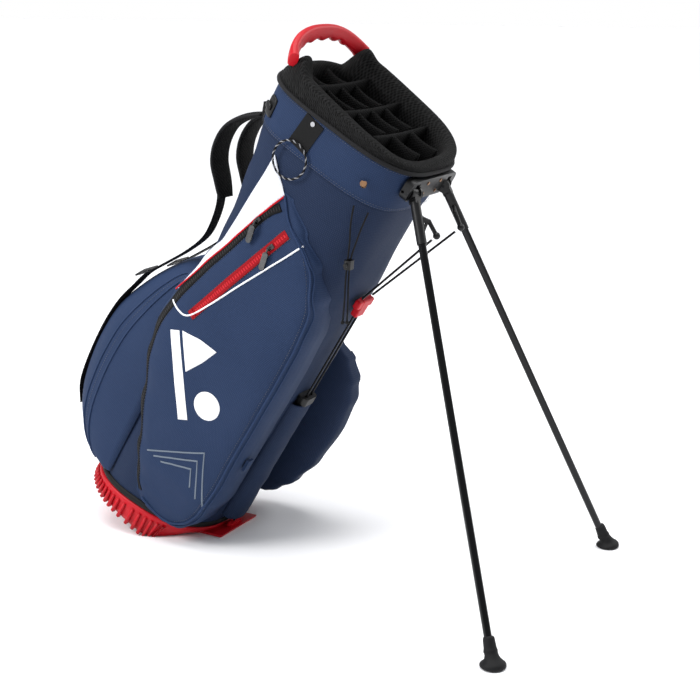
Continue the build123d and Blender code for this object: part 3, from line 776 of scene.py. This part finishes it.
def make_near_trim():
    outline = [tuple(p) for p in flat_line(WHITE_BACK[::-1], 20) + flat_line(WHITE_EDGE, 24)]
    decal("white_side_panel", outline, white, 0.0009, cuts=5, thick=0.0008)
    near_piping("red_piping", WHITE_EDGE, 0.0015, red_cloth, 0.0018)
    tape = near_band("main_zip_tape", MAIN_ZIP, MAIN_TAPE, main_zip_mat, 0.0012, count=160)
    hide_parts("zip_tape_main")
    tape = near_band("chest_zip_tape", CHEST_ZIP, CHEST_TAPE, chest_zip_mat, 0.0012, count=70)
    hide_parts("zip_tape_chest")
    near_piping("white_piping", WHITE_LINE, 0.0016, white_cord, 0.0008)
    near_piping("panel_piping", PANEL_EDGE, 0.0023, navy_dark, 0.0012, count=140)
    outer = [(v + 0.0045 if v > 0.05 else v, u - 0.003 if u < 0.1 else u) for v, u in PANEL_EDGE[1:-1]]
    near_piping("gusset_piping", outer, 0.0018, navy_dark, 0.0004, count=140)
    inner = [(v - 0.006 if v > 0.03 else v, u) for v, u in PANEL_EDGE[2:-2]]
    stitches("panel_stitch", on_near(inner, 0.0006, 160))
    seams = (("main", MAIN_ZIP[1:-1], 0.0085, 140), ("chest", CHEST_ZIP, 0.0098, 80))
    for side in (-1, 1):
        for name, line, reach, count in seams:
            shifted = [(v + side * reach, u) for v, u in line]
            stitches("%s_zip_stitch_%d" % (name, side + 1), on_near(shifted, 0.0008, count))


make_near_trim()


# ---- generic prints: a golf flag over a ball, and nested corner lines ----
def print_frame(origin, size, tilt):
    """Maps drawing coordinates to the pocket's face, upright as the leaning bag is seen."""
    c, s = math.cos(tilt), math.sin(tilt)

    def place(x, y):
        x, y = x * size, y * size
        return origin[0] + x * c - y * s, origin[1] + x * s + y * c

    return place


def make_prints():
    tilt = math.asin(AXIS_U.x) + math.radians(4)
    place = print_frame((0.010, 0.324), 0.084, tilt)
    pole = [(-0.52, -0.92), (-0.28, -0.92), (-0.28, 0.98), (-0.52, 0.98)]
    flag = [(-0.20, 0.98), (0.25, 0.82), (0.62, 0.58), (0.25, 0.34), (-0.20, 0.12)]
    ball = [(0.24 + 0.31 * math.cos(a), -0.58 + 0.31 * math.sin(a)) for a in turns(24)]
    for name, shape in (("print_pole", pole), ("print_flag", flag), ("print_ball", ball)):
        decal(name, [place(x, y) for x, y in shape], print_white, 0.0003, cuts=5, thick=0.00025)
    corner = print_frame((0.086, 0.207), 0.125, tilt)
    for k in range(3):
        d, t = 0.13 * k, 0.024
        arm = [(-0.95 + 0.9 * d, -0.02 - 0.55 * d), (0.10 - d, 0.05 - d), (-0.10 - d * 0.5, -0.85 + d * 1.3)]
        thick = [(arm[0][0], arm[0][1] - t), (arm[1][0] - t, arm[1][1] - t), (arm[2][0] - t, arm[2][1])]
        outline = [corner(x, y) for x, y in arm + thick[::-1]]
        decal("print_corner_%d" % (k + 1), outline, print_grey, 0.0003, cuts=4, thick=0.00025)


make_prints()


# ---- ball pocket on the back ----
BALL_LINE = ((-0.108, 0.462), (-0.150, 0.440), (-0.186, 0.395), (-0.220, 0.334), (-0.246, 0.268),
             (-0.2545, 0.200), (-0.2525, 0.140),
             (-0.242, 0.085), (-0.218, 0.040), (-0.178, 0.008), (-0.122, -0.004))
BALL_HALF = 0.111


def ball_surface(along, turn, grow=0.0):
    """Point of the ball pocket: along its back line, and round from one side to the other."""
    c, s = power_pair(turn, 2.5)
    out = along
    heart = Vector((-0.070, along.y + (0.22 - along.y) * 0.08))
    reach = out - heart
    if reach.length > 0:
        out = heart + reach * (1 + grow / reach.length)
    p = heart.lerp(out, s)
    crease = 1 + noise.noise(Vector((p.x * 14, c * 3, p.y * 10))) * 0.012
    return row(p.x, -(BALL_HALF + grow) * c * crease, p.y)


def make_ball_pocket():
    line = flat_line(BALL_LINE, 70)
    rows = [[ball_surface(p, math.pi * i / 60) for i in range(61)] for p in line]
    skin = grid("ball_pocket_cloth", rows, navy, thick=0.0016)
    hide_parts("ball_pocket")
    for k, turn in enumerate((0.52, 0.70)):
        for side, name in ((1, "near"), (-1, "far")):
            angle = turn if side > 0 else math.pi - turn
            path = [ball_surface(p, angle, 0.0008) for p in line[3:-3]]
            tube("ball_piping_%s_%d" % (name, k + 1), path, 0.0019, navy_dark, sides=8)
    gap = [ball_surface(p, 0.61, 0.0006) for p in line[4:-4]]
    stitches("ball_stitch", gap)


make_ball_pocket()

# ---- far-side pocket ----
FAR = (  # height, back edge, front edge, reach across
    (0.045, -0.02, 0.100, 0.130), (0.052, -0.040, 0.140, 0.146), (0.070, -0.060, 0.156, 0.153),
    (0.11, -0.075, 0.178, 0.158), (0.17, -0.085, 0.194, 0.1605), (0.25, -0.090, 0.200, 0.162),
    (0.32, -0.092, 0.194, 0.159), (0.36, -0.090, 0.180, 0.152), (0.395, -0.082, 0.152, 0.143),
    (0.412, -0.06, 0.120, 0.131))
FAR_ROOT = 0.100  # how far across the far pocket begins


def far_point(turn, u, grow=0.0):
    back, front, out = pick(FAR, u)
    middle, half = (back + front) / 2, (front - back) / 2
    c, s = power_pair(turn, 4.5)
    crease = noise.noise(Vector((c * 2, s * 2, u * 6))) * 0.002
    deep = (out - FAR_ROOT) / 2
    return row(middle + (half + grow) * c, FAR_ROOT + deep + (deep + grow + crease) * s, u)


def make_far_pocket():
    rows = []
    for j in range(80):
        u = FAR[0][0] + (FAR[-1][0] - FAR[0][0]) * j / 79
        rows.append([far_point(turn, u) for turn in turns(90)])
    # the far pocket takes the navy with painted shade
    skin = grid("side_pocket_cloth", rows, navy_painted_shade, closed=True, caps=True)
    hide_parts("side_pocket")
    for k, turn in enumerate((0.42, 1.1)):
        path = [far_point(turn, FAR[0][0] + 0.012 + 0.345 * j / 50, 0.0008) for j in range(51)]
        tube("side_piping_%d" % (k + 1), path, 0.0019, navy_dark, sides=8)


make_far_pocket()


# ---- sleeve that the lower rods run down in, and the stays inside the wall ----
def make_sleeve():
    rows = []
    for j in range(60):
        u = 0.338 - 0.285 * j / 59
        centre, a, _, _ = pick(WALL, u)
        front = centre + a - 0.004
        puff = 1 + 0.10 * noise.noise(Vector((u * 30, 1, 4)))
        line = []
        for t in [math.pi * (k / 24 - 0.5) for k in range(25)]:
            bulge = (0.1625 - front) * max(0.0, math.cos(t)) ** 0.7 * puff if abs(t) < 1.57 else 0.0
            line.append(row(front + bulge, 0.034 * math.sin(t), u))
        rows.append(line)
    # the sleeve takes the navy with painted shade
    grid("rod_sleeve", rows, navy_painted_shade, thick=0.0012)
    for side in (-1, 1):
        path = [row(-0.080, side * 0.093, 0.02 + 0.75 * k / 30) for k in range(31)]
        name = "stay_rod_near" if side < 0 else "stay_rod_far"
        tube(name, path, 0.003, black_plastic)
    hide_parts("stay_rods")


make_sleeve()


# ---- base: a red cup with a fine tread round its back and sides, and a rubber band over it ----
def base_outline(turn, grow=0.0):
    c, s = power_pair(turn, 2.4)
    return 0.006 + (0.1345 + grow) * c, (0.1235 + grow) * s


def base_top(v):
    return 0.0045 + BASE_SLOPE * v


def on_floor(p):
    """Keeps a row-frame point from going under the floor."""
    return Vector((p.x, p.y, max(p.z, 0.0004)))


def base_ring(grow, rise):
    """A ring round the base, rise above its sloping top edge."""
    return [row(*base_outline(turn, grow), base_top(base_outline(turn)[0]) + rise) for turn in turns(240)]


def make_base():
    rows = []
    for grow, rise in ((-0.004, -0.0005), (0.0, 0.0), (0.0012, -0.004), (0.0, -0.012)):
        rows.append([on_floor(p) for p in base_ring(grow, rise)])
    for grow, level in ((-0.001, -0.030), (-0.003, -0.0385), (-0.008, -0.042)):
        rows.append([on_floor(row(*base_outline(turn, grow), level)) for turn in turns(240)])
    cup = grid("base_cup_shell", rows, red_plastic, closed=True, caps=True)
    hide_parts("base_cup")
    bm = bmesh.new()
    teeth = 46
    for k in range(teeth):
        turn = math.pi + math.radians(118) * (2 * k / (teeth - 1) - 1)
        v, w = base_outline(turn)
        ahead = base_outline(turn + 0.01)
        tangent = Vector((ahead[0] - v, ahead[1] - w, 0)).normalized()
        out = Vector((tangent.y, -tangent.x, 0))
        high = base_top(v) - 0.011
        block = bmesh.ops.create_cube(bm, size=1)["verts"]
        for vert in block:
            lean = 1.0 if vert.co.z < 0 else 0.55
            along = vert.co.x * 0.0062
            across = vert.co.y * 0.0085 * lean + 0.0012
            p = Vector((v, w, 0)) + tangent * along + out * across
            vert.co = on_floor(row(p.x, p.y, high if vert.co.z > 0 else -0.0405))
    bmesh.ops.bevel(bm, geom=bm.edges[:], offset=0.0009, segments=2, affect="EDGES", clamp_overlap=True)
    tread = new_object("base_tread", mesh_from(bm, "base_tread"), red_plastic)
    fix_normals(tread)
    inside = []
    for level in (-0.0360, -0.0310):
        ring = [row(*base_outline(turn, -0.008), level) for turn in turns(90)]
        inside.append([Vector((p.x, p.y, max(p.z, 0.006))) for p in ring])
    pad = grid("floor_pad_rubber", inside, rubber, closed=True, caps=True)
    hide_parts("floor_pad")
    edge = ((-0.005, 0.0006), (-0.0008, 0.0006), (0.0012, 0.0045), (0.0012, 0.010), (-0.0008, 0.0135),
            (-0.005, 0.0135))
    band = [base_ring(grow, rise) for grow, rise in edge]
    rubber_band = grid("base_band_rubber", band, rubber, closed=True, levels=1)
    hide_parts("base_band")


make_base()


# ---- shoulder straps ----
PAD_LINE = ((-0.148, 0.746), (-0.176, 0.722), (-0.196, 0.690), (-0.1985, 0.655), (-0.188, 0.624),
            (-0.166, 0.599), (-0.146, 0.576))
WEB_LINE = ((-0.158, 0.592), (-0.146, 0.566), (-0.140, 0.530), (-0.142, 0.495), (-0.160, 0.452),
            (-0.190, 0.400), (-0.212, 0.362), (-0.2235, 0.328), (-0.2365, 0.285), (-0.2435, 0.235),
            (-0.2450, 0.180), (-0.242, 0.120), (-0.2345, 0.080), (-0.216, 0.046))
PAD_ACROSS, WEB_ACROSS = 0.039, 0.047  # from the bag's middle to each pad and each web


def ribbon(name, line, middle, width, thick, material, power, taper=0.0):
    """A strap along a (v, u) line with a rounded cross-section."""
    count = 90
    points = flat_line(line, count)
    rows = []
    for i, p in enumerate(points):
        t = i / (count - 1)
        tangent = (points[min(i + 1, count - 1)] - points[max(i - 1, 0)]).normalized()
        out = Vector((-tangent.y, tangent.x))
        half = width / 2 * (1 - taper * abs(2 * t - 1) ** 4)
        deep = thick / 2 * (1 - 0.6 * abs(2 * t - 1) ** 8)
        section = [power_pair(turn, power) for turn in turns(24)]
        skin = [(p + out * (deep * s), middle + half * c) for c, s in section]
        rows.append([row(at.x, w, at.y) for at, w in skin])
    return grid(name, rows, material, closed=True, caps=True)


def make_straps():
    for name, side in (("near", -1), ("far", 1)):
        across = side * PAD_ACROSS
        pad = ribbon("strap_pad_" + name + "_mesh", PAD_LINE, across, 0.050, 0.0115, strap_mesh, 2.4,
                     taper=0.25)
        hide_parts("strap_pad_" + name)
        points = flat_line(PAD_LINE, 60)
        for edge in (-1, 1):
            path = [row(p.x, across + edge * 0.0235 * (1 - 0.25 * abs(2 * i / 59 - 1) ** 4), p.y)
                    for i, p in enumerate(points)]
            tube("strap_binding_%s_%d" % (name, edge + 1), path, 0.0026, charcoal, sides=8)
        ribbon("strap_web_" + name, WEB_LINE, side * WEB_ACROSS, 0.0255, 0.0022, webbing, 5.0)
    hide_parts("strap_webbing")


make_straps()


# ---- strap clips on the back corners of the band: a plate with a keeper ----
CLIP_HEIGHT, CLIP_OUT = 0.79, 0.004
CLIP_PARTS = (  # name, how far out, half sizes (along the band, out, up), squareness
    ("plate", 0.0, (0.013, 0.003, 0.017), 4.0), ("keeper", 0.005, (0.010, 0.0035, 0.005), 3.0))
CLIP_ROUNDING = ((-1.0, 0.55), (-0.92, 0.9), (-0.7, 1.0), (0.7, 1.0), (0.92, 0.9), (1.0, 0.55))


def make_clips():
    for name, side in (("near", -1), ("far", 1)):
        turn = math.pi + side * -0.80
        v, w = wall_point(turn, CLIP_HEIGHT, CLIP_OUT)
        a, b = (wall_point(turn + shift, CLIP_HEIGHT, CLIP_OUT) for shift in (0.02, -0.02))
        tangent = Vector((a[0] - b[0], a[1] - b[1], 0)).normalized()
        out = Vector((tangent.y, -tangent.x, 0))
        if out.dot(Vector((v, w, 0))) < 0:
            out = -out
        base = Vector((v, w, 0.789))
        for part, shift, size, power in CLIP_PARTS:
            rows = []
            for rise, grow in CLIP_ROUNDING:
                line = []
                for angle in turns(20):
                    c, s = power_pair(angle, power)
                    p = base + tangent * (c * size[0] * grow) + out * (shift + s * size[1] * grow)
                    line.append(row(p.x, p.y, p.z + rise * size[2]))
                rows.append(line)
            grid("strap_clip_%s_%s" % (name, part), rows, black_plastic, closed=True,
                               caps=True)
    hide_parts("strap_clips")


make_clips()


# ---- towel ring: three strands, two black and one grey, twisted together ----
def make_ring():
    low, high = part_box("towel_ring")
    centre = (Vector(low) + Vector(high)) / 2
    radius = (high[0] - low[0]) / 2 - 0.0019
    for k, material in enumerate((cord_black, cord_black, braid_grey)):
        points = []
        for a in turns(240):
            twist = a * 16 + 2 * math.pi * k / 3
            r = radius + 0.00085 * math.cos(twist)
            points.append(centre + Vector((r * math.cos(a), 0.00085 * math.sin(twist), r * math.sin(a))))
        tube("towel_ring_strand_%d" % (k + 1), points, 0.00105, material, body="ring",
                            closed=True, sides=7)
    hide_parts("towel_ring")


make_ring()


# ---- rubber feet: a ribbed socket over the tube and a flared sole ----
def make_foot(name):
    low, high = (Vector(p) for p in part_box("leg_foot_" + name))
    pivot = Vector(next(j for j in frame["joints"] if j["name"] == "leg_" + name + "_fold")["pos_m"])
    inset = 0.021  # the sole's radius
    sole = Vector((high.x - inset, low.y + inset if name == "near" else high.y - inset, 0))
    along = (pivot - sole).normalized()
    profile = (  # radius, height
        (0.0185, 0.0), (0.0208, 0.0022), (0.0206, 0.0058), (0.0175, 0.0085), (0.0125, 0.0125),
        (0.0108, 0.0175), (0.0104, 0.021), (0.0112, 0.0225), (0.0112, 0.0255), (0.0100, 0.027),
        (0.0097, 0.034), (0.0092, 0.0445), (0.0070, 0.0462))
    up = Vector((0, 0, 1))
    rows = []
    for radius, height in profile:
        blend = min(1.0, height / 0.022)
        axis = up.lerp(along, blend).normalized()
        side = axis.cross(Vector((0, 1, 0))).normalized()
        other = axis.cross(side)
        at = sole + up.lerp(along, blend * 0.9).normalized() * height
        rows.append([at + side * (math.cos(a) * radius) + other * (math.sin(a) * radius) for a in turns(32)])
    foot = grid("foot_" + name + "_rubber", rows, rubber, closed=True, levels=1, body="leg_" + name,
                caps=True)
    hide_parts("leg_foot_" + name)


make_foot("near")
make_foot("far")


# ---- draw cords ----
CORD_ROUTES = {
    "draw_cord_front": ((121, -105.5, 748), (124, -107.5, 722), (129, -107.8, 694), (133.5, -106.8, 666),
                        (150, -107, 632), (167, -106.2, 602), (183, -107.2, 573)),
    "draw_cord_back": ((99, -118.5, 748), (107, -117, 721), (120, -112, 693), (131, -110.2, 665),
                       (147, -111, 631), (163, -110.2, 601), (178, -111.4, 570)),
}


def make_cords():
    for name, route in CORD_ROUTES.items():
        curve = bpy.data.curves.new(name + "_elastic", "CURVE")
        curve.dimensions = "3D"
        spline = curve.splines.new("NURBS")
        spline.points.add(len(route) - 1)
        for point, (v, w, u) in zip(spline.points, route):
            point.co = (*row(v / 1000, w / 1000, u / 1000), 1)
        spline.order_u = 3
        spline.use_endpoint_u = True
        curve.resolution_u = 8
        curve.bevel_depth = 0.0014
        curve.bevel_resolution = 4
        curve.use_fill_caps = True
        obj = bpy.data.objects.new(name + "_elastic", curve)
        bpy.context.collection.objects.link(obj)
        obj.data.materials.append(cord_black)
        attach(obj, "bag")
        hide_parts(name)
        end = row(*(x / 1000 for x in route[-1]))
        bm = bmesh.new()
        bmesh.ops.create_icosphere(bm, subdivisions=3, radius=0.0032)
        for vert in bm.verts:
            vert.co *= 1 + 0.12 * noise.noise(vert.co * 900)
            vert.co += end
        knot = new_object(name + "_knot", mesh_from(bm, name + "_knot"), cord_black)


make_cords()

# ---- finishes of the CAD nodes that stay ----
FINISHES = (
    (red_plastic, ("ground_plate", "rod_clip")),
    (black_plastic, ("leg_bracket", "leg_head_near", "leg_head_far", "rod_guide", "strap_buckle_near",
                     "strap_buckle_far", "cord_lock", "cord_lock_button")),
    (black_gloss, ("leg_tube_near", "leg_tube_far")),
    (black_steel, ("push_rods", "leg_rod_near", "leg_rod_far", "plate_hinge_rod", "leg_pin_near",
                   "leg_pin_far")),
    (bronze, ("bracket_screws", "grommets")), (silver, ("tab_rivet",)), (tab_weave, ("towel_tab",)),
    (webbing, ("strap_anchors",)), (navy_dark, ("accessory_loop",)), (lining, ("divider_panels",)),
    (zip_enamel, ("zip_slider_main", "zip_slider_chest", "zip_pull_main", "zip_pull_chest")))
for material, nodes in FINISHES:
    for node in nodes:
        for material_slot in frame["nodes"][node].material_slots:
            material_slot.link = "OBJECT"
            material_slot.material = material

# ---- floor and light ----
floor_mesh = bpy.data.meshes.new("floor")
FLOOR_HALF = 30
corners = [(x * FLOOR_HALF, y * FLOOR_HALF, 0) for x, y in ((-1, -1), (1, -1), (1, 1), (-1, 1))]
floor_mesh.from_pydata(corners, [], [(0, 1, 2, 3)])
floor_object = bpy.data.objects.new("floor", floor_mesh)
bpy.context.collection.objects.link(floor_object)
floor_shader = Shader("floor_paint", 0.9)
floor_shader.bsdf.inputs["Base Color"].default_value = (0.86, 0.86, 0.87, 1)
floor_mesh.materials.append(floor_shader.material)

world = bpy.data.worlds.new("studio")
bpy.context.scene.world = world
world.use_nodes = True
sky_tree = world.node_tree
sky_place = sky_tree.nodes.new("ShaderNodeTexCoord")
sky_axes = sky_tree.nodes.new("ShaderNodeSeparateXYZ")
sky_ramp = sky_tree.nodes.new("ShaderNodeValToRGB")
sky_tree.links.new(sky_place.outputs["Generated"], sky_axes.inputs[0])
sky_tree.links.new(sky_axes.outputs["Z"], sky_ramp.inputs["Fac"])
sky_tree.links.new(sky_ramp.outputs["Color"], sky_tree.nodes["Background"].inputs["Color"])
sky_ramp.color_ramp.elements[0].position = 0.05
sky_ramp.color_ramp.elements[0].color = (1, 1, 1, 1)
sky_ramp.color_ramp.elements[1].position = 0.16
sky_ramp.color_ramp.elements[1].color = (0.42, 0.43, 0.45, 1)
sky_tree.nodes["Background"].inputs["Strength"].default_value = 1.0
LAMPS = (  # name, place, power, size
    ("key", (-1.6, -2.4, 2.6), 105, 1.4), ("top", (0.0, 0.3, 3.6), 20, 2.4),
    ("rim", (1.8, 2.4, 2.2), 45, 1.6))
LAMP_AIM = Vector((0, 0, 0.45))
for name, place, power, size in LAMPS:
    light = bpy.data.lights.new(name, "AREA")
    light.energy = power
    light.size = size
    lamp = bpy.data.objects.new(name, light)
    bpy.context.collection.objects.link(lamp)
    lamp.location = place
    lamp.rotation_euler = (LAMP_AIM - Vector(place)).to_track_quat("-Z", "Y").to_euler()
sun = bpy.data.objects.new("sun", bpy.data.lights.new("sun", "SUN"))
sun.data.energy = 2.5
sun.data.angle = math.radians(50)
bpy.context.collection.objects.link(sun)
bpy.context.scene.view_settings.view_transform = "Standard"
